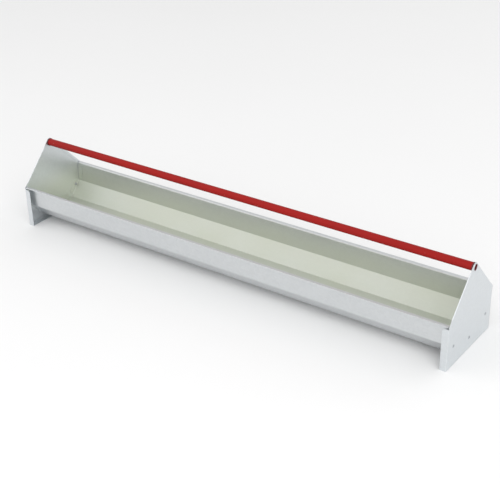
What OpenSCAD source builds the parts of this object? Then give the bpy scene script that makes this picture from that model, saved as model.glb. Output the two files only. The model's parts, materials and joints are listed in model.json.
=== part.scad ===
// Trough feeder for poultry: a folded sheet-metal pan held between two end plates,
// with a tube above it that spins freely so that birds can't perch on it.
// X runs along the trough, Y across it and Z up. The origin is on the ground,
// under the middle of the trough.

/* [Trough] */
// Length over the outer faces of the two end plates
feeder_length = 1000; // [500:10:1500]
// Width over the front and rear flanges of an end plate
feeder_width = 170; // [150:5:220]
// Thickness of the galvanised sheet
sheet = 0.8; // [0.6:0.1:1.2]
// Height of the top of the two lips along the rims
rim_height = 89; // [84:1:94]
// Width of each lip, from its edge to the wall
lip_width = 8; // [6.5:0.5:9]
// Height of the crease where the upper walls bend inwards
crease_height = 46.5; // [42:0.5:54]
// Width across the trough from crease to crease
crease_width = 150; // [144:1:156]
// Height of the underside of the trough
floor_height = 15; // [12:1:20]
// Width of the flat bottom, between its two bends
floor_width = 95; // [85:1:105]

/* [End plates] */
// Height of the corner where an upright edge meets a sloping one
shoulder_height = 88; // [84:1:94]
// Height of the centre of the tube's eye
eye_height = 165; // [140:1:190]
// Radius of the rounded ear around the eye
ear_radius = 8.5; // [8.2:0.1:12]
// Radius of the rounded shoulders
shoulder_radius = 6; // [3:0.5:6]
// Width of the flanges on the front and rear edges
side_flange = 13; // [12:0.5:18]
// Width of the flange that stands on the ground
foot_flange = 12; // [8:0.5:14]
// Width of the closed hem along the sloping edges
hem_width = 6; // [4:0.5:8]

/* [Anti-roost tube] */
// Outer diameter of the tube
tube_diameter = 15; // [14:0.5:17]
// Wall thickness of the tube
tube_wall = 1; // [0.8:0.1:1.5]
// Diameter of the collars on the plugs in the tube's ends
plug_diameter = 16.4; // [15:0.1:18]
// Diameter of the journals that turn in the eyes
journal_diameter = 12.4; // [11:0.1:12.8]
// Running clearance around a journal, on the radius
journal_clearance = 0.08; // [0.03:0.01:0.1]
// Free play at each end of the tube
end_play = 0.7; // [0.3:0.1:1.5]

/* [Rivets] */
// Shank diameter of the blind rivets
rivet_shank = 3.2; // [3:0.1:4]
// Diameter of their domed heads
rivet_head = 6.5; // [6:0.1:8]
// Height of their domed heads
rivet_dome = 1; // [0.8:0.1:1.4]

/* [Hidden] */
SIDES = ["left", "right"];
PLACES = ["front", "bottom", "rear"];

$fn = 64;
GALVANISED = [0.80, 0.82, 0.84];
PAINT_RED = [0.62, 0.12, 0.10];
PLUG_RED = [0.38, 0.11, 0.12];
RIVET_GREY = [0.74, 0.75, 0.77];
MANDREL_GREY = [0.45, 0.46, 0.48];
half_length = feeder_length / 2;
half_width = feeder_width / 2;

// Middle surface of the pan's sheet in the Y-Z plane, and the bends in it
lip_corner = [lip_width - half_width, rim_height - sheet / 2];
crease_corner = [-crease_width / 2, crease_height];
floor_corner = [-floor_width / 2, floor_height + sheet / 2];
crease_to_lip = lip_corner - crease_corner;
wall_angle = atan2(crease_to_lip[1], crease_to_lip[0]);
slope_angle = atan2(crease_corner[1] - floor_corner[1], floor_corner[0] - crease_corner[0]);
bend_radius = 2.4;
bend_steps = 6;
lip_hem = lip_width - 3.5;

// Gap between an end plate and the pan's upper walls, and the hems on their ends
wall_setback = 1.5;
setback_bottom = crease_height + 4;
wall_hem = 12;
wall_hem_span = [5, norm(crease_to_lip) - 5];

// The end plate's bends, notches and sloping edge
fold_radius = 2 * sheet;
fold_steps = 5;
flange_top = min(rim_height - 5, shoulder_height - 4);
flange_foot = 0.2;
flange_corner = 4;
corner_relief = 3;
shoulder_corner = [-half_width, shoulder_height];
eye_vector = [0, eye_height] - shoulder_corner;
slope_length = sqrt(pow(norm(eye_vector), 2) - pow(ear_radius, 2));
edge_angle = atan2(eye_vector[1], eye_vector[0]) + asin(ear_radius / norm(eye_vector));
shoulder_tangent = shoulder_radius * tan((90 - edge_angle) / 2);
hem_start = 12;
hem_end = slope_length - 14;
eye_radius = journal_diameter / 2 + journal_clearance;
collar_height = 1.2;
collar_radius = eye_radius + sheet;

// Tabs at the pan's ends, each along its wall from one distance to another
tab_height = 13;
slope_tab = [4, norm(crease_corner - floor_corner) - 5.5];
floor_tab = (floor_width / 2 - 9.5) * [-1, 1];
tab_corner = 4;

// Rivets: where the front and bottom ones stand, as [y, z], and their profile
front_place = crease_corner + 12.1 * [cos(slope_angle), -sin(slope_angle)]
    + 5.3 * [sin(slope_angle), cos(slope_angle)];
bottom_place = [0, floor_height + 9.5];
rivet_hole = rivet_shank + 0.1;
rivet_grip = -2 * sheet;
rivet_lip = 0.35;
blind_bulge = 5;
blind_end = rivet_grip - 2.6;
blind_shoulder = rivet_grip - 1.4;
mandrel_diameter = 1.8;
mandrel_fit = 0.05;
mandrel_bore = mandrel_diameter + 2 * mandrel_fit;
mandrel_head = 2.9;
mandrel_head_length = 1.2;
mandrel_taper = 0.4;
mandrel_dome = 0.3;
mandrel_break = 0.3;

// The tube's plugs
plug_collar = 2.5;
tube_half = half_length - sheet - end_play - plug_collar;
tube_bore = tube_diameter - 2 * tube_wall;
plug_insert = 20;
plug_fit = 0.02;
plug_wall = 1.6;
journal_end = plug_collar + end_play + sheet + collar_height - 0.1;
cup_radius = journal_diameter / 2 - plug_wall;
cup_depth = 6;
plug_chamfer = 0.5;

// Points of an arc about a centre, from one angle to another
function arc(centre, radius, from, to, steps) =
    [for (i = [0:steps]) let (a = from + (to - from) * i / steps)
        centre + radius * [cos(a), sin(a)]];

// An outline's points mirrored in the Z axis, in reverse order
function mirrored(points) =
    [for (i = [len(points) - 1:-1:0]) [-points[i][0], points[i][1]]];

// A list in reverse order
function reversed(points) = [for (i = [len(points) - 1:-1:0]) points[i]];

// Points of a bend at a corner, entered on a heading. The turn is positive to the left,
// and side is +1 for the sheet's left face.
function bend(corner, heading, turn, side) =
    let (
        hand = sign(turn),
        along = [cos(heading), sin(heading)],
        left = [-sin(heading), cos(heading)],
        centre = corner + bend_radius * (hand * left - tan(abs(turn) / 2) * along),
        start = heading - 90 * hand
    )
    arc(centre, bend_radius - hand * side * sheet / 2, start, start + turn, bend_steps);

// One face of the pan's front half; side is +1 for the face that holds the feed
function pan_face(side) =
    let (wall_turn = 180 - wall_angle - slope_angle)
    concat(
        [[-half_width, lip_corner[1] + side * sheet / 2]],
        bend(lip_corner, 0, wall_angle - 180, side),
        bend(crease_corner, wall_angle - 180, wall_turn, side),
        bend(floor_corner, -slope_angle, slope_angle, side));

// Lays a shape drawn in the Y-Z plane on X = x and gives it a thickness along +X
module across(x, thickness)
    translate([x, 0, 0]) rotate([90, 0, 90]) linear_extrude(thickness) children();

// Turns a shape spun about Z so that its axis lies along +X
module along_x() rotate([0, 90, 0]) children();

// Repeats one end's parts on the chosen side; "right" is drawn, "left" mirrors it
module on_side(side) mirror([side == "left" ? 1 : 0, 0, 0]) children();

// Where a rivet stands on the end plate, as [y, z]
function rivet_place(place) =
    place == "bottom" ? bottom_place
    : [(place == "front" ? 1 : -1) * front_place[0], front_place[1]];

// The holes for the three rivets of one end, through everything between two X values
module rivet_holes(from, to)
    for (place = PLACES)
        translate([from, rivet_place(place)[0], rivet_place(place)[1]])
            along_x() cylinder(h = to - from, d = rivet_hole);

// A tab's outline: a strip with its two free corners cut off
module tab_outline(from, to)
    polygon([[from, 0], [to, 0], [to, tab_height - tab_corner], [to - tab_corner, tab_height],
             [from + tab_corner, tab_height], [from, tab_height - tab_corner]]);

// The three tabs that one end of the pan turns up against its end plate
module pan_tabs() {
    across(half_length - 2 * sheet, sheet) {
        translate([0, floor_corner[1]]) tab_outline(floor_tab[0], floor_tab[1]);
        for (flip = [0, 1]) mirror([flip, 0])
            translate(crease_corner) rotate(-slope_angle)
                tab_outline(slope_tab[0], slope_tab[1]);
    }
}

// Clears the upper walls and the lips from one end plate
module wall_gap()
    for (flip = [0, 1]) mirror([0, flip, 0])
        translate([half_length - sheet - wall_setback, -half_width - 1, setback_bottom])
            cube([wall_setback + 1, half_width - crease_width / 2 + 4, rim_height]);

// The hem folded inwards on one end of each upper wall
module wall_hems()
    for (flip = [0, 1]) mirror([0, flip, 0])
        across(half_length - sheet - wall_setback - wall_hem, wall_hem)
            translate(crease_corner) rotate(wall_angle)
                translate([wall_hem_span[0], -1.5 * sheet])
                    square([wall_hem_span[1] - wall_hem_span[0], 1.25 * sheet]);

// The closed hem folded under each lip's edge
module lip_hems()
    for (flip = [0, 1]) mirror([0, flip, 0])
        across(sheet - half_length, feeder_length - 2 * sheet)
            translate([-half_width, rim_height - 2 * sheet]) square([lip_hem, 1.25 * sheet]);

module trough_pan() {
    section = concat(pan_face(1), mirrored(pan_face(1)),
                     reversed(concat(pan_face(-1), mirrored(pan_face(-1)))));
    color(GALVANISED) difference() {
        union() {
            across(sheet - half_length, feeder_length - 2 * sheet) polygon(section);
            lip_hems();
            for (side = SIDES) on_side(side) {
                pan_tabs();
                wall_hems();
            }
        }
        for (side = SIDES) on_side(side) {
            wall_gap();
            rivet_holes(half_length - 5, half_length);
        }
    }
}

// Half of the flat face's outline, from the foot up to the top of the ear
plate_edge = concat(
    [[-half_width + fold_radius, fold_radius], [-half_width + fold_radius, flange_top + 1.4],
     [-half_width, flange_top + 1.4]],
    arc([-half_width + shoulder_radius, shoulder_height - shoulder_tangent], shoulder_radius,
        180, 90 + edge_angle, fold_steps * 2),
    arc([0, eye_height], ear_radius, 90 + edge_angle, 90, fold_steps * 2));

// An L-shaped section: a quarter bend into a flange, from the face's edge at [0, 0]
module fold_section(flange)
    polygon(concat(
        arc([-fold_radius, 0], fold_radius, 0, -90, fold_steps),
        [[-flange, -fold_radius], [-flange, sheet - fold_radius]],
        arc([-fold_radius, 0], fold_radius - sheet, -90, 0, fold_steps)));

// The flange along the front edge, folded inwards, with its free top corner cut off
module side_fold()
    difference() {
        translate([half_length, fold_radius - half_width, flange_foot])
            linear_extrude(flange_top - flange_foot) fold_section(side_flange);
        translate([half_length - side_flange, -half_width, flange_top]) rotate([0, 45, 0])
            cube([sqrt(2) * flange_corner, 4 * sheet, sqrt(2) * flange_corner], center = true);
    }

// The flange that stands on the ground, folded inwards
module foot_fold()
    translate([half_length, half_width - corner_relief, fold_radius])
        rotate([90, 0, 0]) linear_extrude(feeder_width - 2 * corner_relief)
            fold_section(foot_flange);

// The closed hem along the front sloping edge, on the inner face
module edge_hem()
    across(half_length - 2 * sheet, sheet)
        translate(shoulder_corner) rotate(edge_angle) translate([hem_start, -hem_width])
            square([hem_end - hem_start, hem_width]);

module end_plate(side) {
    color(GALVANISED) on_side(side) difference() {
        union() {
            across(half_length - sheet, sheet)
                polygon(concat(plate_edge, mirrored(plate_edge)));
            foot_fold();
            for (flip = [0, 1]) mirror([0, flip, 0]) {
                side_fold();
                edge_hem();
            }
            translate([half_length - sheet / 2, 0, eye_height])
                along_x() cylinder(h = collar_height + sheet / 2, r = collar_radius);
        }
        translate([half_length - 5, 0, eye_height]) along_x() cylinder(h = 10, r = eye_radius);
        rivet_holes(half_length - 5, half_length + 5);
    }
}

module anti_roost_tube() {
    color(PAINT_RED) translate([-tube_half, 0, eye_height]) along_x()
        rotate_extrude()
            translate([tube_bore / 2, 0]) square([tube_wall, 2 * tube_half]);
}

module tube_plug(side) {
    insert = tube_bore / 2 - plug_fit;
    collar = plug_diameter / 2;
    journal = journal_diameter / 2;
    cup_floor = journal_end - cup_depth;
    color(PLUG_RED) on_side(side) translate([tube_half, 0, eye_height]) along_x()
        rotate_extrude()
            polygon([
                [0, cup_floor], [cup_radius, cup_floor], [cup_radius, journal_end],
                [journal - plug_chamfer, journal_end], [journal, journal_end - plug_chamfer],
                [journal, plug_collar], [collar - plug_chamfer, plug_collar],
                [collar, plug_collar - plug_chamfer], [collar, 0], [insert, 0],
                [insert, 2 * plug_chamfer - plug_insert], [insert - plug_chamfer, -plug_insert],
                [insert - plug_wall, -plug_insert], [insert - plug_wall, cup_floor - plug_wall],
                [0, cup_floor - plug_wall]]);
}

// Puts a revolved part on one of the rivets' axes, with z = 0 on the plate's outer face
module at_rivet(side, place)
    on_side(side) translate([half_length, rivet_place(place)[0], rivet_place(place)[1]])
        along_x() children();

// A set blind rivet: domed head outside, bulge behind the tab, bored for its mandrel
module rivet(side, place) {
    bore = mandrel_bore / 2;
    head = rivet_head / 2;
    socket = mandrel_head / 2 + mandrel_fit;
    dome_radius = (pow(head, 2) + pow(rivet_dome, 2)) / (2 * rivet_dome);
    color(RIVET_GREY) at_rivet(side, place) rotate_extrude()
        polygon(concat(
            arc([0, rivet_dome - dome_radius], dome_radius,
                90 - asin(bore / dome_radius), 90 - asin(head / dome_radius), fold_steps),
            [[rivet_shank / 2, 0], [rivet_shank / 2, rivet_grip],
             [blind_bulge / 2, rivet_grip], [blind_bulge / 2, blind_shoulder],
             [socket + rivet_lip, blind_end], [socket, blind_end],
             [socket, blind_end + mandrel_head_length],
             [bore, blind_end + mandrel_head_length + mandrel_taper]]));
}

// The broken-off mandrel that stays in a blind rivet
module mandrel(side, place) {
    stem = mandrel_diameter / 2;
    head = mandrel_head / 2;
    head_end = blind_end + mandrel_head_length - mandrel_fit;
    color(MANDREL_GREY) at_rivet(side, place) rotate_extrude()
        polygon([
            [0, blind_end - mandrel_dome], [head - mandrel_dome, blind_end - mandrel_dome],
            [head, blind_end], [head, head_end], [stem, head_end + mandrel_taper],
            [stem, rivet_dome - mandrel_break], [0, rivet_dome - mandrel_break]]);
}

trough_pan();
end_plate("left");  // left_end_plate
end_plate("right");  // right_end_plate
anti_roost_tube();
tube_plug("left");  // left_tube_plug
tube_plug("right");  // right_tube_plug
for (side = SIDES) for (place = PLACES) {
    rivet(side, place);
    mandrel(side, place);
}
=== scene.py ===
"""Looks of a galvanised poultry trough with a free-spinning red tube above it.

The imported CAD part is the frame: every piece takes its place from the CAD nodes'
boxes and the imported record. Each sub-assembly is a class that builds its meshes and
dresses them with procedural finishes. All lengths are in metres.
"""
import json
import logging
import math
from collections.abc import Callable, Sequence
from dataclasses import dataclass, field
from enum import Enum
from typing import Any, Union

import bmesh
import bpy
from mathutils import Matrix, Vector
from mathutils.geometry import delaunay_2d_cdt


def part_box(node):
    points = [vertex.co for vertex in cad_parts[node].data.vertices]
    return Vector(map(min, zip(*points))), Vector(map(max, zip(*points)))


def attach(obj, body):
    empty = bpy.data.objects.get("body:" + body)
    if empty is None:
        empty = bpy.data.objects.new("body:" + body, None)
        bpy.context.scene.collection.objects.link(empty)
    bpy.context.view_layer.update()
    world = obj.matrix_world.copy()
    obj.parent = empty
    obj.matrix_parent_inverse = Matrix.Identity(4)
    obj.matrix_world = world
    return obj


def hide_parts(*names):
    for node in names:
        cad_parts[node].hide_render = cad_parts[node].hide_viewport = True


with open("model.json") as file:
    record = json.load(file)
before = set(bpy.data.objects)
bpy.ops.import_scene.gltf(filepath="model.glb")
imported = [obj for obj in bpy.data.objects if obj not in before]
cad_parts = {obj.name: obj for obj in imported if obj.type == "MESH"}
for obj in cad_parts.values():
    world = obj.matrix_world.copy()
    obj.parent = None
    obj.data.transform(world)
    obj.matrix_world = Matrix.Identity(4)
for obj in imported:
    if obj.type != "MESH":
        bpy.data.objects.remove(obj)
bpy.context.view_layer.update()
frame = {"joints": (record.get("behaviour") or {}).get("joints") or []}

LOG = logging.getLogger("trough_feeder")
MM = 0.001
SHEET = 0.8 * MM
SMOOTH_BELOW = math.radians(40)

Flat = tuple[float, float]
Colour = tuple[float, float, float]


class End(Enum):
    """The two ends of the feeder, with the sign of X on each."""

    LEFT = -1
    RIGHT = 1

    @property
    def label(self) -> str:
        """The end's name as the CAD nodes spell it."""
        return self.name.lower()


class Fold(Enum):
    """How the pan's sheet is finished at its two ends."""

    CUT = "cut"
    TAB = "tab"
    HEM = "hem"


# --------------------------------------------------------------------------- node graphs


class Sock:
    """An output socket that takes part in arithmetic."""

    def __init__(self, graph: "Graph", socket: bpy.types.NodeSocket) -> None:
        """Wraps one output socket of a graph."""
        self.graph = graph
        self.socket = socket

    def _math(self, operation: str, first: "Value", second: "Value") -> "Sock":
        """Adds one Math node on two values."""
        return self.graph.make("ShaderNodeMath", {"operation": operation}, {0: first, 1: second})

    def __add__(self, other: "Value") -> "Sock":
        """self + other."""
        return self._math("ADD", self, other)

    def __sub__(self, other: "Value") -> "Sock":
        """self - other."""
        return self._math("SUBTRACT", self, other)

    def __rsub__(self, other: "Value") -> "Sock":
        """other - self."""
        return self._math("SUBTRACT", other, self)

    def __mul__(self, other: "Value") -> "Sock":
        """self * other."""
        return self._math("MULTIPLY", self, other)

    __radd__ = __add__
    __rmul__ = __mul__

    def above(self, low: float, high: float) -> "Sock":
        """0 below low, 1 above high and a smooth step between them."""
        return self.graph.make(
            "ShaderNodeMapRange", {"interpolation_type": "SMOOTHSTEP"},
            {"Value": self, "From Min": low, "From Max": high})

    def size(self) -> "Sock":
        """The value without its sign."""
        return self._math("ABSOLUTE", self, 0.0)

    def sign(self) -> "Sock":
        """-1, 0 or 1."""
        return self._math("SIGN", self, 0.0)


Value = Union[Sock, float]


class Graph:
    """A node tree that is written as expressions."""

    def __init__(self, tree: bpy.types.NodeTree) -> None:
        """Empties the tree and wraps it."""
        self.tree = tree
        self.last: bpy.types.Node | None = None
        tree.nodes.clear()

    def make(self, kind: str, settings: dict[str, Any] | None = None,
             inputs: dict[str | int, Any] | None = None, output: str | int = 0) -> Sock:
        """Adds a node.

        Args:
            kind: The node's type name.
            settings: Its properties, set first; "stops" fills a colour ramp.
            inputs: Values or sockets for its inputs, by name or index.
            output: Which output to return.

        Returns:
            The chosen output, or the node's own wrapper if it has none.
        """
        node = self.tree.nodes.new(kind)
        for key, value in (settings or {}).items():
            if key == "stops":
                ramp = node.color_ramp
                while len(ramp.elements) < len(value):
                    ramp.elements.new(1.0)
                for element, (place, colour) in zip(ramp.elements, value):
                    element.position, element.color = place, (*colour, 1.0)
            else:
                setattr(node, key, value)
        for key, value in (inputs or {}).items():
            if isinstance(value, Sock):
                self.tree.links.new(value.socket, node.inputs[key])
            else:
                node.inputs[key].default_value = value
        self.last = node
        return Sock(self, node.outputs[output]) if len(node.outputs) else Sock(self, None)

    def noise(self, place: Sock, scale: float, detail: float = 2.0,
              roughness: float = 0.5) -> Sock:
        """A smooth random field from 0 to 1."""
        return self.make("ShaderNodeTexNoise", {},
                         {"Vector": place, "Scale": scale, "Detail": detail,
                          "Roughness": roughness})

    def stretch(self, place: Sock, scale: tuple[float, float, float]) -> Sock:
        """A place scaled by a different amount along each axis."""
        return self.make("ShaderNodeMapping", {}, {"Vector": place, "Scale": scale})

    def cells(self, place: Sock, scale: float) -> Sock:
        """One random value for each of many irregular cells."""
        colour = self.make("ShaderNodeTexVoronoi", {}, {"Vector": place, "Scale": scale},
                           "Color")
        return self.make("ShaderNodeSeparateColor", {}, {0: colour})

    def split(self, vector: Sock) -> tuple[Sock, Sock, Sock]:
        """A vector's three parts."""
        self.make("ShaderNodeSeparateXYZ", {}, {0: vector})
        parts = self.last.outputs
        return Sock(self, parts[0]), Sock(self, parts[1]), Sock(self, parts[2])

    def mix(self, share: Value, first: Any, second: Any) -> Sock:
        """A colour between two others."""
        def whole(colour: Any) -> Any:
            return colour if isinstance(colour, Sock) else (*colour, 1.0)
        return self.make("ShaderNodeMix", {"data_type": "RGBA"},
                         {0: share, 6: whole(first), 7: whole(second)}, 2)

    def bump(self, height: Sock, distance: float, strength: float,
             under: Sock | None = None) -> Sock:
        """A normal bent by a height field."""
        inputs = {"Height": height, "Distance": distance, "Strength": strength}
        if under is not None:
            inputs["Normal"] = under
        return self.make("ShaderNodeBump", {}, inputs)


def new_material(name: str) -> tuple[bpy.types.Material, Graph]:
    """An empty material and the graph that fills it."""
    material = bpy.data.materials.new(name)
    material.use_nodes = True
    return material, Graph(material.node_tree)


def shade(graph: Graph, inputs: dict[str, Any]) -> None:
    """Ends a material in one Principled shader with these inputs."""
    surface = graph.make("ShaderNodeBsdfPrincipled", {}, inputs)
    graph.make("ShaderNodeOutputMaterial", {}, {"Surface": surface})


def object_place(graph: Graph) -> Sock:
    """The point on the surface, in the piece's own metres."""
    return graph.make("ShaderNodeTexCoord", {}, {}, "Object")


# ------------------------------------------------------------------------------ finishes


@dataclass(frozen=True)
class ZincCoat:
    """Hot-dip galvanised sheet: small spangle, rolling streaks, meal dust and a painted reflection
    of feed.

    Meal dust and a painted reflection of the yellow feed lie on faces that hold feed,
    inside the trough's section, which widens from the floor up to the creases. The greenish
    colour is the painted reflection; the same mask makes the zinc rougher and less metallic,
    as clinging meal does. It fades out towards the top.
    """

    name: str
    bright: Colour = (0.70, 0.72, 0.73)
    dull: Colour = (0.59, 0.61, 0.62)
    spangle_size: float = 5 * MM
    # greenish colour of meal dust and of the painted reflection of the feed
    film: Colour = (0.57, 0.61, 0.46)
    film_strength: float = 0.5
    film_floor: Flat = (47.5 * MM, 15 * MM)
    film_crease: Flat = (76.5 * MM, 46.5 * MM)
    film_span: Flat = (50 * MM, 110 * MM)
    gloss: float = 0.32

    def make(self) -> bpy.types.Material:
        """Builds the material."""
        material, graph = new_material(self.name)
        place = object_place(graph)
        bend = graph.make("ShaderNodeVectorMath", {"operation": "SCALE"}, {
            0: graph.make("ShaderNodeTexNoise", {}, {"Vector": place, "Scale": 210.0}, "Color"),
            "Scale": 0.5 * self.spangle_size})
        bent = graph.make("ShaderNodeVectorMath", {"operation": "ADD"}, {0: place, 1: bend})
        spangle = graph.cells(bent, 1 / self.spangle_size)
        streak = graph.noise(graph.stretch(place, (5.0, 420.0, 420.0)), 1.0)
        cloud = graph.noise(place, 8.0, 3.0)
        grain = graph.noise(place, 2600.0, 1.0)
        # painted reflection of the feed, with clinging meal, patchy with the cloud
        film = self._film(graph, place) * (0.6 + 0.8 * cloud)
        tone = 0.34 * spangle + 0.30 * streak + 0.20 * cloud + 0.08
        metal = graph.mix(tone, self.dull, self.bright)
        # mixes the painted feed reflection into the zinc colour
        colour = graph.mix(film * self.film_strength, metal, self.film)
        roughness = self.gloss + 0.06 * spangle + 0.05 * cloud + 0.03 * grain + 0.12 * film
        dents = graph.bump(graph.noise(graph.stretch(place, (4.0, 11.0, 11.0)), 1.0, 1.0),
                           0.8 * MM, 0.4)
        skin = graph.bump(0.6 * spangle + 0.5 * streak + 0.3 * grain, 0.03 * MM, 0.35, dents)
        shade(graph, {"Base Color": colour, "Roughness": roughness, "Normal": skin,
                      "Metallic": 0.88 - 0.25 * film})
        return material

    def _film(self, graph: Graph, place: Sock) -> Sock:
        """Where meal clings and the feed's reflection is painted: faces turned towards the feed,
        inside the trough.
        """
        along, across, height = graph.split(place)
        normal = graph.make("ShaderNodeTexCoord", {}, {}, "Normal")
        face_x, face_y, face_z = graph.split(normal)
        inwards = (face_z - across.sign() * face_y - along.sign() * face_x).above(0.15, 0.5)
        (floor_half, floor), (crease_half, crease) = self.film_floor, self.film_crease
        flare = (crease_half - floor_half) / (crease - floor)
        inside = graph.make("ShaderNodeMath", {"operation": "MINIMUM"}, {
            0: (height - floor) * flare + floor_half, 1: crease_half + 1 * MM})
        within = (inside - across.size()).above(-0.5 * MM, 0.5 * MM)
        below = 1 - height.above(*self.film_span)
        return inwards * below * within * height.above(floor - 2 * MM, floor)


@dataclass(frozen=True)
class SatinPaint:
    """Red satin powder coat: orange peel, faint rubbing and a few pin-head chips."""

    name: str = "red_satin_paint"
    fresh: Colour = (0.335, 0.010, 0.008)
    rubbed: Colour = (0.27, 0.010, 0.008)
    primer: Colour = (0.30, 0.27, 0.26)

    def make(self) -> bpy.types.Material:
        """Builds the material."""
        material, graph = new_material(self.name)
        place = object_place(graph)
        cloud = graph.noise(graph.stretch(place, (6.0, 60.0, 60.0)), 1.0, 3.0)
        peel = graph.noise(place, 700.0, 2.0)
        rub = graph.noise(graph.stretch(place, (14.0, 180.0, 180.0)), 1.0, 4.0, 0.65)
        chip = graph.noise(place, 330.0, 1.0).above(0.80, 0.82)
        paint = graph.mix((0.55 * cloud + 0.45 * rub).above(0.35, 0.75),
                          self.fresh, self.rubbed)
        skin = graph.bump(peel - 0.8 * chip, 0.05 * MM, 0.35)
        shade(graph, {"Base Color": graph.mix(chip, paint, self.primer),
                      "Roughness": 0.42 + 0.12 * rub + 0.05 * peel + 0.2 * chip,
                      "Normal": skin, "Specular IOR Level": 0.15})
        return material


@dataclass(frozen=True)
class MouldedPlastic:
    """Dark red moulded plastic with a fine matt grain and paler scuffs."""

    name: str = "moulded_plug_plastic"
    body: Colour = (0.115, 0.012, 0.014)
    scuffed: Colour = (0.20, 0.045, 0.045)

    def make(self) -> bpy.types.Material:
        """Builds the material."""
        material, graph = new_material(self.name)
        place = object_place(graph)
        grain = graph.noise(place, 2400.0, 2.0)
        scuff = graph.noise(place, 260.0, 4.0, 0.7).above(0.52, 0.75)
        shade(graph, {"Base Color": graph.mix(0.7 * scuff + 0.1 * grain, self.body,
                                              self.scuffed),
                      "Roughness": 0.42 + 0.14 * grain + 0.1 * scuff,
                      "Normal": graph.bump(grain, 0.03 * MM, 0.3)})
        return material


@dataclass(frozen=True)
class TurnedMetal:
    """Small drawn-metal parts: satin, faintly ringed round their axis and tarnished."""

    name: str
    clean: Colour
    tarnished: Colour
    roughness: float

    def make(self) -> bpy.types.Material:
        """Builds the material."""
        material, graph = new_material(self.name)
        place = object_place(graph)
        tarnish = graph.noise(place, 420.0, 4.0, 0.6).above(0.35, 0.8)
        grain = graph.noise(graph.stretch(place, (5200.0, 1600.0, 1600.0)), 1.0, 2.0)
        shade(graph, {"Base Color": graph.mix(tarnish, self.clean, self.tarnished),
                      "Roughness": self.roughness + 0.12 * tarnish + 0.06 * grain,
                      "Metallic": 0.95 - 0.15 * tarnish,
                      "Normal": graph.bump(grain, 0.02 * MM, 0.3)})
        return material


@dataclass(frozen=True)
class PaleFloor:
    """A plain, nearly white studio floor."""

    name: str = "studio_floor"
    pale: Colour = (0.86, 0.86, 0.86)
    paler: Colour = (0.88, 0.88, 0.88)

    def make(self) -> bpy.types.Material:
        """Builds the material."""
        material, graph = new_material(self.name)
        cloud = graph.noise(object_place(graph), 1.5, 2.0)
        shade(graph, {"Base Color": graph.mix(cloud, self.pale, self.paler),
                      "Roughness": 0.75})
        return material


# --------------------------------------------------------------------------- mesh making


def arc(centre: Flat, radius: float, start: float, stop: float, steps: int) -> list[Flat]:
    """Points of an arc.

    Args:
        centre: The arc's centre.
        radius: Its radius.
        start: The first point's angle, in degrees.
        stop: The last point's angle, in degrees.
        steps: How many straight steps to make it of.

    Returns:
        steps + 1 points.
    """
    angles = (math.radians(start + (stop - start) * i / steps) for i in range(steps + 1))
    return [(centre[0] + radius * math.cos(a), centre[1] + radius * math.sin(a))
            for a in angles]


def rounded(outline: Sequence[Flat], radius: float, steps: int = 4) -> list[Flat]:
    """An open outline with its inner corners rounded.

    Args:
        outline: The corners, from one end to the other.
        radius: How far from a corner its rounding starts.
        steps: How many straight steps each rounding has.

    Returns:
        The rounded outline, with the same two ends.
    """
    points = [Vector(p) for p in outline]
    result = [points[0]]
    for before, corner, after in zip(points, points[1:], points[2:]):
        reach = min(radius, 0.45 * (before - corner).length, 0.45 * (after - corner).length)
        start = corner + reach * (before - corner).normalized()
        stop = corner + reach * (after - corner).normalized()
        for i in range(steps + 1):
            t = i / steps
            result.append((1 - t) ** 2 * start + 2 * t * (1 - t) * corner + t ** 2 * stop)
    result.append(points[-1])
    return [(p.x, p.y) for p in result]


def lathe(name: str, outline: Sequence[Flat], sides: int) -> bpy.types.Mesh:
    """Spins an outline that starts and ends on the Z axis about that axis.

    Args:
        name: The mesh's name.
        outline: Points as (radius, height).
        sides: How many straight sides the turn has.

    Returns:
        A closed mesh whose faces point outwards.
    """
    shape = bmesh.new()
    rings = []
    for radius, height in outline:
        count = 1 if radius < 1e-9 else sides
        turns = (2 * math.pi * i / sides for i in range(count))
        rings.append([shape.verts.new((radius * math.cos(t), radius * math.sin(t), height))
                      for t in turns])
    for low, high in zip(rings, rings[1:]):
        for i in range(sides):
            j = (i + 1) % sides
            corners = [low[i % len(low)], low[j % len(low)],
                       high[j % len(high)], high[i % len(high)]]
            unique = list(dict.fromkeys(corners))
            if len(unique) > 2:
                shape.faces.new(unique)
    bmesh.ops.recalc_face_normals(shape, faces=shape.faces)
    mesh = bpy.data.meshes.new(name)
    shape.to_mesh(mesh)
    shape.free()
    mesh.shade_smooth()
    mesh.set_sharp_from_angle(angle=SMOOTH_BELOW)
    return mesh


def new_object(name: str, mesh: bpy.types.Mesh) -> bpy.types.Object:
    """Links a mesh to the scene as an object at the origin."""
    piece = bpy.data.objects.new(name, mesh)
    bpy.context.scene.collection.objects.link(piece)
    return piece


def settle(piece: bpy.types.Object) -> bpy.types.Object:
    """Turns a piece's modifiers into plain mesh and removes them."""
    graph = bpy.context.evaluated_depsgraph_get()
    mesh = bpy.data.meshes.new_from_object(piece.evaluated_get(graph), depsgraph=graph,
                                           preserve_all_data_layers=True)
    piece.modifiers.clear()
    piece.data = mesh
    mesh.name = piece.name
    return piece


def towards(end: End) -> Matrix:
    """The turn that lays the Z axis along X, away from the middle, at one end."""
    return Matrix.Rotation(end.value * math.pi / 2, 4, "Y")


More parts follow.
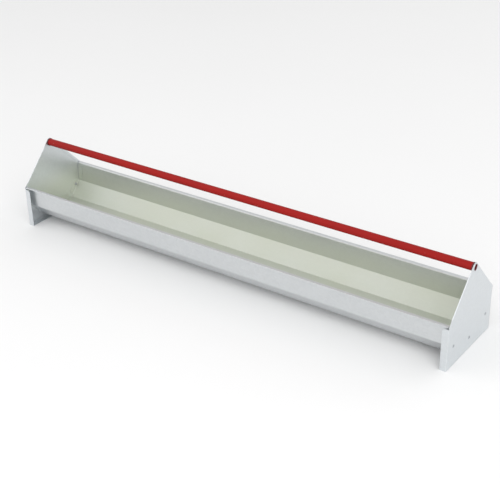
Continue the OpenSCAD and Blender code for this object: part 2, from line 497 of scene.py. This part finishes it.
@dataclass
class FoldedSheet:
    """The middle surface of a piece of sheet metal, which then gets its thickness."""

    name: str
    thickness: float = SHEET
    edge_round: float = 0.12 * MM
    vertices: list[Vector] = field(default_factory=list)
    faces: list[tuple[int, ...]] = field(default_factory=list)

    def strip(self, first: Sequence[Vector], second: Sequence[Vector]) -> None:
        """Adds the four-sided faces between two lines of as many points."""
        start, count = len(self.vertices), len(first)
        self.vertices.extend([*first, *second])
        for i in range(start, start + count - 1):
            self.faces.append((i, i + 1, i + count + 1, i + count))

    def panel(self, outline: Sequence[Flat], holes: Sequence[tuple[Flat, Sequence[Flat]]],
              place: Callable[[Flat], Vector]) -> None:
        """Adds a flat panel.

        Args:
            outline: Its edge, as a closed loop of points.
            holes: Each hole's centre and the loop of points round it.
            place: Where a point of the panel lies in space.
        """
        points: list[Vector] = []
        edges: list[tuple[int, int]] = []
        for loop in [outline, *(rim for _, rim in holes)]:
            start, count = len(points), len(loop)
            points.extend(Vector(p) / MM for p in loop)
            edges.extend((start + i, start + (i + 1) % count) for i in range(count))
        found, _, triangles, *_ = delaunay_2d_cdt(points, edges, [], 1, 1e-5)
        start = len(self.vertices)
        self.vertices.extend(place((p.x * MM, p.y * MM)) for p in found)
        for triangle in triangles:
            middle = sum((found[i] for i in triangle), Vector((0, 0))) / len(triangle) * MM
            if all((middle - Vector(centre)).length > (Vector(rim[0]) - Vector(centre)).length
                   for centre, rim in holes):
                self.faces.append(tuple(start + i for i in triangle))

    def build(self, mirrored: bool = False) -> bpy.types.Object:
        """Welds the surface, thickens it and rounds its cut edges.

        Args:
            mirrored: Whether the piece is flipped across X = 0.

        Returns:
            The finished piece as one closed mesh.
        """
        shape = bmesh.new()
        flip = -1 if mirrored else 1
        corners = [shape.verts.new((flip * v.x, v.y, v.z)) for v in self.vertices]
        for face in self.faces:
            shape.faces.new([corners[i] for i in face])
        bmesh.ops.remove_doubles(shape, verts=shape.verts, dist=1e-6)
        bmesh.ops.recalc_face_normals(shape, faces=shape.faces)
        mesh = bpy.data.meshes.new(self.name)
        shape.to_mesh(mesh)
        shape.free()
        piece = new_object(self.name, mesh)
        wall = piece.modifiers.new("wall", "SOLIDIFY")
        wall.thickness, wall.offset, wall.use_even_offset = self.thickness, 0.0, True
        rim = piece.modifiers.new("edges", "BEVEL")
        rim.width, rim.segments, rim.limit_method = self.edge_round, 2, "ANGLE"
        rim.angle_limit, rim.use_clamp_overlap = math.radians(60), False
        settle(piece)
        piece.data.shade_smooth()
        piece.data.set_sharp_from_angle(angle=SMOOTH_BELOW)
        even = piece.modifiers.new("even_shading", "WEIGHTED_NORMAL")
        even.keep_sharp = True
        return settle(piece)


class NodeShape:
    """A Geometry Nodes tree with named inputs, made into a plain mesh when it is used."""

    def __init__(self, name: str, inputs: dict[str, str]) -> None:
        """Starts the tree.

        Args:
            name: The tree's name.
            inputs: Each input's name and the type of its socket.
        """
        self.tree = bpy.data.node_groups.new(name, "GeometryNodeTree")
        self.graph = Graph(self.tree)
        self.tree.interface.new_socket("Geometry", in_out="OUTPUT",
                                       socket_type="NodeSocketGeometry")
        for label, kind in inputs.items():
            self.tree.interface.new_socket(label, in_out="INPUT", socket_type=kind)
        self.source = self.tree.nodes.new("NodeGroupInput")

    def value(self, label: str) -> Sock:
        """One of the tree's inputs."""
        return Sock(self.graph, self.source.outputs[label])

    def point(self, x: Value, y: Value, z: Value) -> Sock:
        """A vector of three numbers or sockets."""
        return self.graph.make("ShaderNodeCombineXYZ", {}, {0: x, 1: y, 2: z})

    def finish(self, shape: Sock) -> None:
        """Ends the tree in real geometry that carries its material."""
        real = self.graph.make("GeometryNodeRealizeInstances", {}, {0: shape})
        dressed = self.graph.make("GeometryNodeSetMaterial", {},
                                  {"Geometry": real, "Material": self.value("Material")})
        self.graph.make("NodeGroupOutput", {}, {0: dressed})

    def use(self, name: str, values: dict[str, Any]) -> bpy.types.Object:
        """Makes one piece with the tree.

        Args:
            name: The piece's name.
            values: A value for each named input.

        Returns:
            The piece, with a live modifier that settle() turns into mesh.
        """
        piece = new_object(name, bpy.data.meshes.new(name))
        modifier = piece.modifiers.new(self.tree.name, "NODES")
        modifier.node_group = self.tree
        for item in self.tree.interface.items_tree:
            if item.in_out == "INPUT":
                modifier[item.identifier] = values[item.name]
        return piece


# ------------------------------------------------------------------------- sub-assemblies


@dataclass(frozen=True)
class Station:
    """One line along the pan, with its place in the section and how its ends go on.

    Attributes:
        place: Its (y, z) in the section.
        inwards: The direction towards the feed, in the section.
        reach: The X at which the flat sheet ends.
        fold: How the sheet goes on past that.
        height: How far a tab stands up from the sheet.
    """

    place: Flat
    inwards: Flat
    reach: float
    fold: Fold = Fold.CUT
    height: float = 0.0

    def mirrored(self) -> "Station":
        """The same line on the rear half of the pan."""
        return Station((-self.place[0], self.place[1]), (-self.inwards[0], self.inwards[1]),
                       self.reach, self.fold, self.height)


@dataclass
class TroughPan:
    """The folded pan: two hemmed lips, two creased walls, a flat floor and end tabs."""

    half_length: float
    half_width: float
    rim_top: float
    underside: float
    finish: bpy.types.Material
    lip: float = 8 * MM
    lip_hem: float = 4.5 * MM
    crease: Flat = (-75 * MM, 46.5 * MM)
    floor_half: float = 47.5 * MM
    bend: float = 2.4 * MM
    setback: float = 1.5 * MM
    setback_from: float = 50.5 * MM
    hem_width: float = 12 * MM
    hem_bend: float = 0.45 * MM
    hem_margin: float = 5 * MM
    tab_height: float = 13 * MM
    tab_corner: float = 4 * MM
    tab_bend: float = 1.1 * MM
    slope_tab_margins: Flat = (4 * MM, 5.5 * MM)
    floor_tab_margin: float = 9.5 * MM
    notch: float = 0.4 * MM
    end_zone: float = 16 * MM
    name: str = "folded_trough_pan"

    def _turn(self, corner: Flat, heading: float, turn: float) -> list[tuple[Flat, Flat]]:
        """A bend at a corner.

        Args:
            corner: Where the two flats would meet.
            heading: The direction it is entered on, in degrees.
            turn: The angle it turns through, in degrees, positive to the left.

        Returns:
            Each point of the bend with its direction towards the feed.
        """
        angle = math.radians(heading)
        along = Vector((math.cos(angle), math.sin(angle)))
        hand = math.copysign(1, turn)
        left = Vector((-along.y, along.x))
        back = math.tan(math.radians(abs(turn) / 2))
        centre = Vector(corner) + self.bend * (hand * left - back * along)
        start = heading - 90 * hand
        points = arc((centre.x, centre.y), self.bend, start, start + turn, 8)
        return [(p, (hand * (centre.x - p[0]) / self.bend, hand * (centre.y - p[1]) / self.bend))
                for p in points]

    def _front_half(self) -> list[Station]:
        """The stations from the front lip's hem to the middle of the floor."""
        full = self.half_length - SHEET
        short = full - self.setback
        rim = Vector((self.lip - self.half_width, self.rim_top - SHEET / 2))
        crease = Vector(self.crease)
        floor = Vector((-self.floor_half, self.underside + SHEET / 2))
        up = rim - crease
        wall_angle = math.degrees(math.atan2(up.y, up.x))
        slope_angle = math.degrees(math.atan2(crease.y - floor.y, floor.x - crease.x))
        rise = Vector((math.cos(math.radians(wall_angle)), math.sin(math.radians(wall_angle))))
        wall_in = (rise.y, -rise.x)
        fall = (floor - crease).normalized()
        slope_in = (-fall.y, fall.x)
        hem_reach = short - SHEET / 2 - self.hem_bend
        tab_reach = full - SHEET / 2 - self.tab_bend

        edge = Vector((self.hem_bend + SHEET / 2 - self.half_width, rim.y - self.hem_bend))
        hem = arc(tuple(edge), self.hem_bend, 270, 90, 8)
        stations = [Station((self.lip_hem - self.half_width, hem[0][1]), (0, -1), short)]
        stations += [Station(p, tuple((Vector(p) - edge) / self.hem_bend), short) for p in hem]
        stations += [Station(p, n, short)
                     for p, n in self._turn(tuple(rim), 0.0, wall_angle - 180)]

        def on_wall(distance: float, reach: float, fold: Fold = Fold.CUT) -> Station:
            return Station(tuple(crease + distance * rise), wall_in, reach, fold)

        hem_low, hem_high = self.hem_margin, up.length - self.hem_margin
        step = (self.setback_from - crease.y) / rise.y
        stations += [on_wall(hem_high + self.notch, short), on_wall(hem_high, hem_reach, Fold.HEM),
                     on_wall(hem_low, hem_reach, Fold.HEM), on_wall(hem_low - self.notch, short),
                     on_wall(step, short), on_wall(step - self.notch, full)]
        stations += [Station(p, n, full)
                     for p, n in self._turn(self.crease, wall_angle - 180,
                                            180 - wall_angle - slope_angle)]

        def on_slope(distance: float, height: float | None) -> Station:
            place = tuple(crease + distance * fall)
            if height is None:
                return Station(place, slope_in, full)
            return Station(place, slope_in, tab_reach, Fold.TAB, height)

        low = self.tab_height - self.tab_corner
        start, spare = self.slope_tab_margins
        stop = (floor - crease).length - spare
        stations += [on_slope(start - self.notch, None), on_slope(start, low),
                     on_slope(start + self.tab_corner, self.tab_height),
                     on_slope(stop - self.tab_corner, self.tab_height),
                     on_slope(stop, low), on_slope(stop + self.notch, None)]
        stations += [Station(p, n, full)
                     for p, n in self._turn(tuple(floor), -slope_angle, slope_angle)]
        tab_end = self.floor_half - self.floor_tab_margin
        stations += [Station((-tab_end - self.notch, floor.y), (0, 1), full),
                     Station((-tab_end, floor.y), (0, 1), tab_reach, Fold.TAB, low),
                     Station((self.tab_corner - tab_end, floor.y), (0, 1), tab_reach, Fold.TAB,
                             self.tab_height)]
        return stations

    def _ending(self, station: Station) -> list[Flat]:
        """The sheet's way past a station's end, as (X, distance towards the feed)."""
        if station.fold is Fold.TAB:
            bend = arc((station.reach, self.tab_bend), self.tab_bend, -90, 0, 6)[1:]
            return [*bend, (bend[-1][0], station.height)]
        if station.fold is Fold.HEM:
            bend = arc((station.reach, self.hem_bend), self.hem_bend, -90, 90, 8)[1:]
            free_edge = self.half_length - SHEET - self.setback - self.hem_width
            return [*bend, (free_edge, bend[-1][1])]
        return []

    def _line(self, station: Station, folded: bool) -> list[Vector]:
        """All the points of one station, from the left end to the right one."""
        inner = [x * self.half_length / 4 for x in range(-3, 4)]
        near = self.half_length - self.end_zone
        flats = [(x, 0.0) for x in (-station.reach, -near, *inner, near, station.reach)]
        past = self._ending(station) if folded else []
        way = [(-x, d) for x, d in reversed(past)] + flats + past
        (y, z), (in_y, in_z) = station.place, station.inwards
        return [Vector((x, y + d * in_y, z + d * in_z)) for x, d in way]

    def build(self) -> bpy.types.Object:
        """Folds the pan and dresses it."""
        sheet = FoldedSheet(self.name)
        half = self._front_half()
        stations = half + [s.mirrored() for s in reversed(half)]
        for first, second in zip(stations, stations[1:]):
            folded = first.fold is second.fold and first.fold is not Fold.CUT
            sheet.strip(self._line(first, folded), self._line(second, folded))
        pan = sheet.build()
        pan.data.materials.append(self.finish)
        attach(pan, "feeder")
        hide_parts("trough_pan")
        return pan


@dataclass
class EndPlate:
    """An end plate: gabled face, three flanges, two hems and the drawn eye."""

    half_length: float
    half_width: float
    eye_height: float
    rivets: list[Flat]
    finish: bpy.types.Material
    fold: float = 1.2 * MM
    shoulder_height: float = 88 * MM
    shoulder_radius: float = 6 * MM
    ear: float = 8.5 * MM
    flange_top: float = 84 * MM
    flange_corner: float = 4 * MM
    flange_gap: float = 1.4 * MM
    flange_lift: float = 0.2 * MM
    side_flange: float = 13 * MM
    foot_flange: float = 12 * MM
    foot_short: float = 3 * MM
    hem_width: float = 6 * MM
    hem_bend: float = 0.45 * MM
    hem_span: Flat = (12 * MM, 14 * MM)
    hem_mitre: float = 3.5 * MM
    eye_wall: float = 6.68 * MM
    eye_bend: float = 0.8 * MM
    eye_stand: float = 1.2 * MM
    rivet_hole: float = 1.65 * MM
    eye_sides: int = 72

    def _circle(self, centre: Flat, radius: float, sides: int) -> list[Flat]:
        """A closed loop of points round a centre."""
        return arc(centre, radius, 0, 360, sides)[:-1]

    def _on_slope(self, along: float, inset: float) -> Flat:
        """A point near the front sloping edge, from its shoulder corner."""
        start, angle, _ = self._slope()
        turned = math.radians(angle)
        return (start[0] + along * math.cos(turned) + inset * math.sin(turned),
                start[1] + along * math.sin(turned) - inset * math.cos(turned))

    def _slope(self) -> tuple[Flat, float, float]:
        """The front sloping edge's lower corner, its angle in degrees and its length."""
        corner = (-self.half_width, self.shoulder_height)
        to_eye = Vector((0, self.eye_height)) - Vector(corner)
        angle = math.atan2(to_eye.y, to_eye.x) + math.asin(self.ear / to_eye.length)
        return corner, math.degrees(angle), math.sqrt(to_eye.length ** 2 - self.ear ** 2)

    def _front_edge(self) -> list[Flat]:
        """The face's outline from the foot up to the top of the ear."""
        _, angle, length = self._slope()
        inner = self.fold + SHEET / 2 - self.half_width
        foot = self.fold + SHEET / 2
        cut = self.flange_top + self.flange_gap
        tangent = self.shoulder_radius * math.tan(math.radians(90 - angle) / 2)
        start, stop = self.hem_span[0], length - self.hem_span[1]
        inset = SHEET / 2 + self.hem_bend
        shoulder = arc((self.shoulder_radius - self.half_width, self.shoulder_height - tangent),
                       self.shoulder_radius, 180, 90 + angle, 12)
        ear = arc((0, self.eye_height), self.ear, 90 + angle, 90, 14)
        return [(self.foot_short - self.half_width, foot), (inner, foot),
                (inner, self.flange_top - self.flange_corner), (inner, self.flange_top),
                (inner, cut), (-self.half_width, cut), *shoulder,
                self._on_slope(start, 0), self._on_slope(start, inset),
                self._on_slope(stop, inset), self._on_slope(stop, 0), *ear]

    def _folds(self, sheet: FoldedSheet, face: float, flip: int) -> None:
        """Adds one side's flange and hem; flip is 1 for the front and -1 for the rear."""
        edge = self.half_width - self.fold - SHEET / 2
        bend = arc((face - self.fold, -edge), self.fold, 0, -90, 8)
        free = self.half_length - self.side_flange
        levels = [(self.flange_lift, free), (self.fold + SHEET / 2, free),
                  (self.flange_top - self.flange_corner, free),
                  (self.flange_top, free + self.flange_corner)]
        lines = [[Vector((x, flip * y, z)) for x, y in [*bend, (reach, bend[-1][1])]]
                 for z, reach in levels]
        for low, high in zip(lines, lines[1:]):
            sheet.strip(low, high)
        _, _, length = self._slope()
        start, stop = self.hem_span[0], length - self.hem_span[1]
        inset = SHEET / 2 + self.hem_bend
        curl = arc((face - self.hem_bend, inset), self.hem_bend, 0, -180, 8)
        lines = []
        for along, mitre in ((start, self.hem_mitre), (stop, -self.hem_mitre)):
            way = [(x, self._on_slope(along, d)) for x, d in curl]
            way.append((curl[-1][0], self._on_slope(along + mitre, self.hem_width)))
            lines.append([Vector((x, flip * y, z)) for x, (y, z) in way])
        sheet.strip(*lines)

    def build(self, end: End) -> bpy.types.Object:
        """Folds one end's plate and dresses it.

        Args:
            end: Which end it closes.

        Returns:
            The finished plate.
        """
        sheet = FoldedSheet(f"folded_{end.label}_end_plate")
        face = self.half_length - SHEET / 2
        front = self._front_edge()
        outline = front + [(-y, z) for y, z in reversed(front[:-1])]
        eye = (0.0, self.eye_height)
        rim = self.eye_wall + self.eye_bend
        holes = [(eye, self._circle(eye, rim, self.eye_sides))]
        holes += [(p, self._circle(p, self.rivet_hole, 20)) for p in self.rivets]
        sheet.panel(outline, holes, lambda p: Vector((face, *p)))
        for flip in (1, -1):
            self._folds(sheet, face, flip)
        foot = self.half_width - self.foot_short
        bend = arc((face - self.fold, self.fold + SHEET / 2), self.fold, 0, -90, 8)
        section = [*bend, (self.half_length - self.foot_flange, bend[-1][1])]
        sheet.strip(*([Vector((x, y, z)) for x, z in section] for y in (-foot, foot)))
        neck = arc((face + self.eye_bend, rim), self.eye_bend, 180, 270, 6)
        neck.append((self.half_length + self.eye_stand, self.eye_wall))
        spokes = [[Vector((x, *self._round_eye(r, i))) for x, r in neck]
                  for i in range(self.eye_sides + 1)]
        for first, second in zip(spokes, spokes[1:]):
            sheet.strip(first, second)
        plate = sheet.build(mirrored=end is End.LEFT)
        plate.data.materials.append(self.finish)
        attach(plate, "feeder")
        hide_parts(f"{end.label}_end_plate")
        return plate

    def _round_eye(self, radius: float, step: int) -> Flat:
        """A point at one of the eye's steps, at a radius."""
        turn = 2 * math.pi * (step % self.eye_sides) / self.eye_sides
        return radius * math.cos(turn), self.eye_height + radius * math.sin(turn)


@dataclass
class RoostTube:
    """The free-spinning tube, swept along its axis, and the plugs in its two ends."""

    half_length: float
    radius: float
    height: float
    paint: bpy.types.Material
    plastic: bpy.types.Material
    wall: float = 1.0 * MM
    sides: int = 96
    rings: int = 9
    collar: float = 8.2 * MM
    collar_length: float = 2.5 * MM
    journal: float = 6.2 * MM
    journal_end: float = 5.1 * MM
    insert_depth: float = 20 * MM
    insert_fit: float = 0.02 * MM
    plug_wall: float = 1.6 * MM
    cup_depth: float = 6 * MM
    cup_draft: float = 0.2 * MM
    nub: Flat = (1.1 * MM, 0.7 * MM)
    lead_in: Flat = (0.6 * MM, 1.5 * MM)
    plug_round: float = 0.45 * MM
    lip_round: float = 0.2 * MM

    def build_tube(self) -> bpy.types.Object:
        """Sweeps the tube and dresses it."""
        shape = NodeShape("swept_tube", {
            "Half Length": "NodeSocketFloat", "Radius": "NodeSocketFloat",
            "Height": "NodeSocketFloat", "Sides": "NodeSocketInt", "Rings": "NodeSocketInt",
            "Material": "NodeSocketMaterial"})
        half, height = shape.value("Half Length"), shape.value("Height")
        axis = shape.graph.make("GeometryNodeCurvePrimitiveLine", {}, {
            "Start": shape.point(0.0 - half, 0.0, height), "End": shape.point(half, 0.0, height)})
        stepped = shape.graph.make("GeometryNodeResampleCurve", {},
                                   {"Curve": axis, "Count": shape.value("Rings")})
        ring = shape.graph.make("GeometryNodeCurvePrimitiveCircle", {},
                                {"Resolution": shape.value("Sides"),
                                 "Radius": shape.value("Radius")})
        shape.finish(shape.graph.make("GeometryNodeCurveToMesh", {},
                                      {"Curve": stepped, "Profile Curve": ring}))
        tube = shape.use("swept_roost_tube", {
            "Half Length": self.half_length, "Radius": self.radius - self.wall / 2,
            "Height": self.height, "Sides": self.sides, "Rings": self.rings,
            "Material": self.paint})
        thick = tube.modifiers.new("wall", "SOLIDIFY")
        thick.thickness, thick.offset = self.wall, 0.0
        lips = tube.modifiers.new("lips", "BEVEL")
        lips.width, lips.segments, lips.limit_method = self.lip_round, 2, "ANGLE"
        settle(tube)
        tube.data.shade_smooth()
        tube.data.set_sharp_from_angle(angle=SMOOTH_BELOW)
        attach(tube, "roost_bar")
        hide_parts("anti_roost_tube")
        return tube

    def build_plug(self, end: End) -> bpy.types.Object:
        """Turns one plug: insert, collar, journal and the cup in its end.

        Args:
            end: Which end of the tube it closes.

        Returns:
            The finished plug.
        """
        insert = self.radius - self.wall - self.insert_fit
        bore = insert - self.plug_wall
        cup = self.journal - self.plug_wall
        floor = self.journal_end - self.cup_depth
        nub_radius, nub_height = self.nub
        lead_width, lead_length = self.lead_in
        outline = rounded([
            (0, floor + nub_height), (nub_radius, floor + nub_height), (nub_radius, floor),
            (cup, floor), (cup + self.cup_draft, self.journal_end),
            (self.journal, self.journal_end), (self.journal, self.collar_length),
            (self.collar, self.collar_length), (self.collar, 0), (insert, 0),
            (insert, lead_length - self.insert_depth),
            (insert - lead_width, -self.insert_depth),
            (bore, -self.insert_depth), (bore, floor - self.plug_wall),
            (0, floor - self.plug_wall)], self.plug_round)
        mesh = lathe(f"{end.label}_plug", outline, 64)
        centre = Matrix.Translation((end.value * self.half_length, 0, self.height))
        mesh.transform(centre @ towards(end))
        plug = new_object(f"moulded_{end.label}_plug", mesh)
        mesh.materials.append(self.plastic)
        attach(plug, "roost_bar")
        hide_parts(f"{end.label}_tube_plug")
        return plug


@dataclass
class RivetSet:
    """The six blind rivets and their broken mandrels, set by one Geometry Nodes tree."""

    face: float
    side: Flat
    bottom: Flat
    head: float = 3.25 * MM
    dome: float = 1.0 * MM
    shank: float = 1.6 * MM
    grip: float = 2 * SHEET
    bulge: float = 2.5 * MM
    tail: float = 2.6 * MM
    stem: float = 0.9 * MM
    stem_fit: float = 0.05 * MM
    mandrel_head: float = 1.45 * MM
    socket_depth: float = 1.2 * MM
    socket_taper: float = 0.4 * MM
    socket_lip: float = 0.35 * MM
    head_round: float = 0.14 * MM
    bulge_round: float = 0.6 * MM
    bore_round: float = 0.15 * MM
    break_depth: float = 0.3 * MM
    seed: int = 7
    _shape: NodeShape | None = None

    def _tree(self) -> NodeShape:
        """Three places at each end, one part on each, turned at random about its axis."""
        shape = NodeShape("set_at_rivet_places", {
            "Part": "NodeSocketObject", "Plate Face": "NodeSocketFloat",
            "Side Place": "NodeSocketFloat", "Side Height": "NodeSocketFloat",
            "Bottom Height": "NodeSocketFloat", "Seed": "NodeSocketInt",
            "Material": "NodeSocketMaterial"})
        graph = shape.graph
        side, high, low = (shape.value(n) for n in ("Side Place", "Side Height", "Bottom Height"))
        places = graph.make("GeometryNodeMeshLine", {"mode": "OFFSET"}, {
            "Count": 3, "Start Location": shape.point(shape.value("Plate Face"), 0.0 - side, high),
            "Offset": shape.point(0.0, side, 0.0)})
        middle = graph.make("FunctionNodeCompare", {"data_type": "INT", "operation": "EQUAL"},
                            {2: graph.make("GeometryNodeInputIndex"), 3: 1})
        places = graph.make("GeometryNodeSetPosition", {}, {
            "Geometry": places, "Selection": middle, "Offset": shape.point(0.0, 0.0, low - high)})
        part = graph.make("GeometryNodeObjectInfo", {}, {"Object": shape.value("Part")},
                          "Geometry")
        right = graph.make("GeometryNodeInstanceOnPoints", {}, {
            "Points": places, "Instance": part, "Rotation": (0.0, math.pi / 2, 0.0)})
        left = graph.make("GeometryNodeTransform", {},
                          {"Geometry": right, "Rotation": (0.0, 0.0, math.pi)})
        both = graph.make("GeometryNodeJoinGeometry", {}, {0: right})
        graph.tree.links.new(left.socket, graph.last.inputs[0])
        turn = graph.make("FunctionNodeRandomValue", {"data_type": "FLOAT"},
                          {2: 0.0, 3: 2 * math.pi, "Seed": shape.value("Seed")}, 1)
        shape.finish(graph.make("GeometryNodeRotateInstances", {}, {
            "Instances": both, "Rotation": shape.point(0.0, 0.0, turn)}))
        return shape

    def _set(self, name: str, outline: Sequence[Flat], finish: bpy.types.Material,
             suffix: str) -> bpy.types.Object:
        """Turns one part from its outline and sets six of it.

        Args:
            name: The piece's name.
            outline: The part's outline as (radius, height over the plate).
            finish: Its material.
            suffix: The end of the names of the CAD nodes it stands for.

        Returns:
            The six parts as one piece.
        """
        self._shape = self._shape or self._tree()
        part = new_object(f"{name}_part", lathe(name, outline, 40))
        piece = self._shape.use(name, {
            "Part": part, "Plate Face": self.face, "Side Place": self.side[0],
            "Side Height": self.side[1], "Bottom Height": self.bottom[1], "Seed": self.seed,
            "Material": finish})
        settle(piece)
        bpy.data.objects.remove(part)
        piece.data.set_sharp_from_angle(angle=SMOOTH_BELOW)
        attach(piece, "feeder")
        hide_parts(*(f"{end.label}_{place}_{suffix}" for end in End
                             for place in ("front", "bottom", "rear")))
        return piece

    def build_rivets(self, finish: bpy.types.Material) -> bpy.types.Object:
        """The domed heads, shanks and rolled tails."""
        bore = self.stem + self.stem_fit
        socket = self.mandrel_head + self.stem_fit
        sphere = (self.head ** 2 + self.dome ** 2) / (2 * self.dome)
        low = math.degrees(math.acos(self.head / sphere)) + 3
        high = math.degrees(math.acos((bore + self.bore_round) / sphere))
        dome = arc((0, self.dome - sphere), sphere, high, low, 10)
        tail = -self.grip - self.tail
        socket_top = tail + self.socket_depth + self.socket_taper
        outline = [(bore, socket_top), (bore, dome[0][1] - 0.12 * MM), *dome,
                   *arc((self.head - self.head_round, self.head_round), self.head_round,
                        20, -90, 4),
                   (self.shank, 0), (self.shank, -self.grip),
                   (self.bulge - 0.5 * MM, -self.grip),
                   *arc((self.bulge - self.bulge_round, -self.grip - self.bulge_round),
                        self.bulge_round, 90, -10, 5),
                   (self.bulge, tail + 1.1 * MM), (socket + self.socket_lip, tail),
                   (socket, tail), (socket, tail + self.socket_depth), (bore, socket_top)]
        return self._set("set_blind_rivets", outline, finish, "rivet")

    def build_mandrels(self, finish: bpy.types.Material) -> bpy.types.Object:
        """The mandrels' stems, broken off in the heads, and their own heads behind."""
        tail = -self.grip - self.tail
        head_end = tail + self.socket_depth - self.stem_fit
        top = self.dome - self.break_depth
        outline = [(0, tail - 0.3 * MM), (0.75 * self.mandrel_head, tail - 0.26 * MM),
                   (0.95 * self.mandrel_head, tail - 0.1 * MM), (self.mandrel_head, tail),
                   (self.mandrel_head, head_end), (self.stem, head_end + self.socket_taper),
                   (self.stem, top - 0.1 * MM), (0.7 * self.stem, top - 0.16 * MM),
                   (0.45 * self.stem, top), (0, top - 0.08 * MM)]
        return self._set("broken_mandrels", outline, finish, "mandrel")


# --------------------------------------------------------------------------------- studio


@dataclass
class Studio:
    """A pale floor, soft light from all round and the camera."""

    camera_place: Vector = Vector((1.1355, -1.5056, 1.0681))
    camera_right: Vector = Vector((0.8125384, 0.58255522, -0.02026737))
    camera_down: Vector = Vector((0.26291191, -0.3972938, -0.87922407))
    lens: float = 78.26
    sensor: float = 36.0
    floor_half: float = 30.0
    sky: float = 0.80

    def build(self) -> None:
        """Puts up the floor, the sky, the lamps and the camera."""
        half = self.floor_half
        mesh = bpy.data.meshes.new("floor")
        mesh.from_pydata([(-half, -half, 0), (half, -half, 0), (half, half, 0),
                          (-half, half, 0)], [], [(0, 1, 2, 3)])
        floor = new_object("floor", mesh)
        mesh.materials.append(PaleFloor().make())
        self._sky()
        self._lamp("key", (2.2, -2.0, 1.9), 2.8, 50.0)
        self._lamp("left", (-2.0, -1.6, 2.2), 3.0, 22.0)
        self._lamp("rear", (1.2, 2.6, 2.0), 2.6, 12.0)
        self._camera()

    def _sky(self) -> None:
        """Even white light from everywhere."""
        world = bpy.data.worlds.new("studio")
        world.use_nodes = True
        graph = Graph(world.node_tree)
        light = graph.make("ShaderNodeBackground", {},
                           {"Color": (1.0, 1.0, 1.0, 1.0), "Strength": self.sky})
        graph.make("ShaderNodeOutputWorld", {}, {"Surface": light})
        bpy.context.scene.world = world
        bpy.context.scene.view_settings.view_transform = "Standard"

    def _lamp(self, name: str, place: tuple[float, float, float], size: float,
              power: float) -> None:
        """A square soft lamp that faces the feeder."""
        data = bpy.data.lights.new(name, "AREA")
        data.size, data.energy = size, power
        lamp = bpy.data.objects.new(name, data)
        lamp.location = place
        aim = Vector((0, 0, 0.08)) - Vector(place)
        lamp.rotation_euler = aim.to_track_quat("-Z", "Y").to_euler()
        bpy.context.scene.collection.objects.link(lamp)

    def _camera(self) -> None:
        """The camera, placed by its own axes."""
        data = bpy.data.cameras.new("camera")
        data.lens, data.sensor_width = self.lens, self.sensor
        camera = bpy.data.objects.new("camera", data)
        right, up = self.camera_right, -self.camera_down
        back = right.cross(up)
        turn = Matrix((right, up, back)).transposed().to_4x4()
        camera.matrix_world = Matrix.Translation(self.camera_place) @ turn
        bpy.context.scene.collection.objects.link(camera)
        bpy.context.scene.camera = camera


# ----------------------------------------------------------------------------------- main


def middle(node: str) -> Vector:
    """The middle of a CAD node's box."""
    low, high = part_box(node)
    return (low + high) / 2


def report(piece: bpy.types.Object) -> None:
    """Logs one finished piece."""
    piece.data.calc_loop_triangles()
    LOG.info("%s: %d triangles", piece.name, len(piece.data.loop_triangles))


def main() -> None:
    """Builds the feeder's pieces in order, then the studio."""
    logging.basicConfig(level=logging.INFO, format="%(name)s: %(message)s")
    pan_low, pan_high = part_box("trough_pan")
    plate_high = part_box("right_end_plate")[1]
    tube_low, tube_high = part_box("anti_roost_tube")
    eye_height = frame["joints"][0]["pos_m"][2]
    half_length = pan_high.x + SHEET

    zinc = ZincCoat("galvanised_pan").make()
    report(TroughPan(half_length, pan_high.y, pan_high.z, pan_low.z, zinc).build())

    places = [middle(f"right_{place}_rivet") for place in ("front", "bottom", "rear")]
    rivets = [(p.y, p.z) for p in places]
    # The plates take a lighter copy of the pan's zinc: painted light, since more light falls on
    # the plates than on the pan's front wall.
    plate = EndPlate(half_length, plate_high.y, eye_height, rivets,
                     ZincCoat("galvanised_plates", (0.74, 0.77, 0.79),
                              (0.65, 0.68, 0.70)).make())
    for end in End:
        report(plate.build(end))

    tube = RoostTube(tube_high.x, (tube_high.z - tube_low.z) / 2, eye_height,
                     SatinPaint().make(), MouldedPlastic().make())
    report(tube.build_tube())
    for end in End:
        report(tube.build_plug(end))

    fixings = RivetSet(half_length, rivets[2], rivets[1])
    # The rivet alloy is set darker than bare aluminium: partly tarnish, partly painted shade that
    # makes the heads show as dark dots.
    report(fixings.build_rivets(TurnedMetal(
        "rivet_alloy", (0.54, 0.56, 0.59), (0.38, 0.39, 0.42), 0.28).make()))
    report(fixings.build_mandrels(TurnedMetal(
        "mandrel_wire", (0.30, 0.30, 0.31), (0.17, 0.15, 0.13), 0.42).make()))

    Studio().build()


if __name__ == "__main__":
    main()
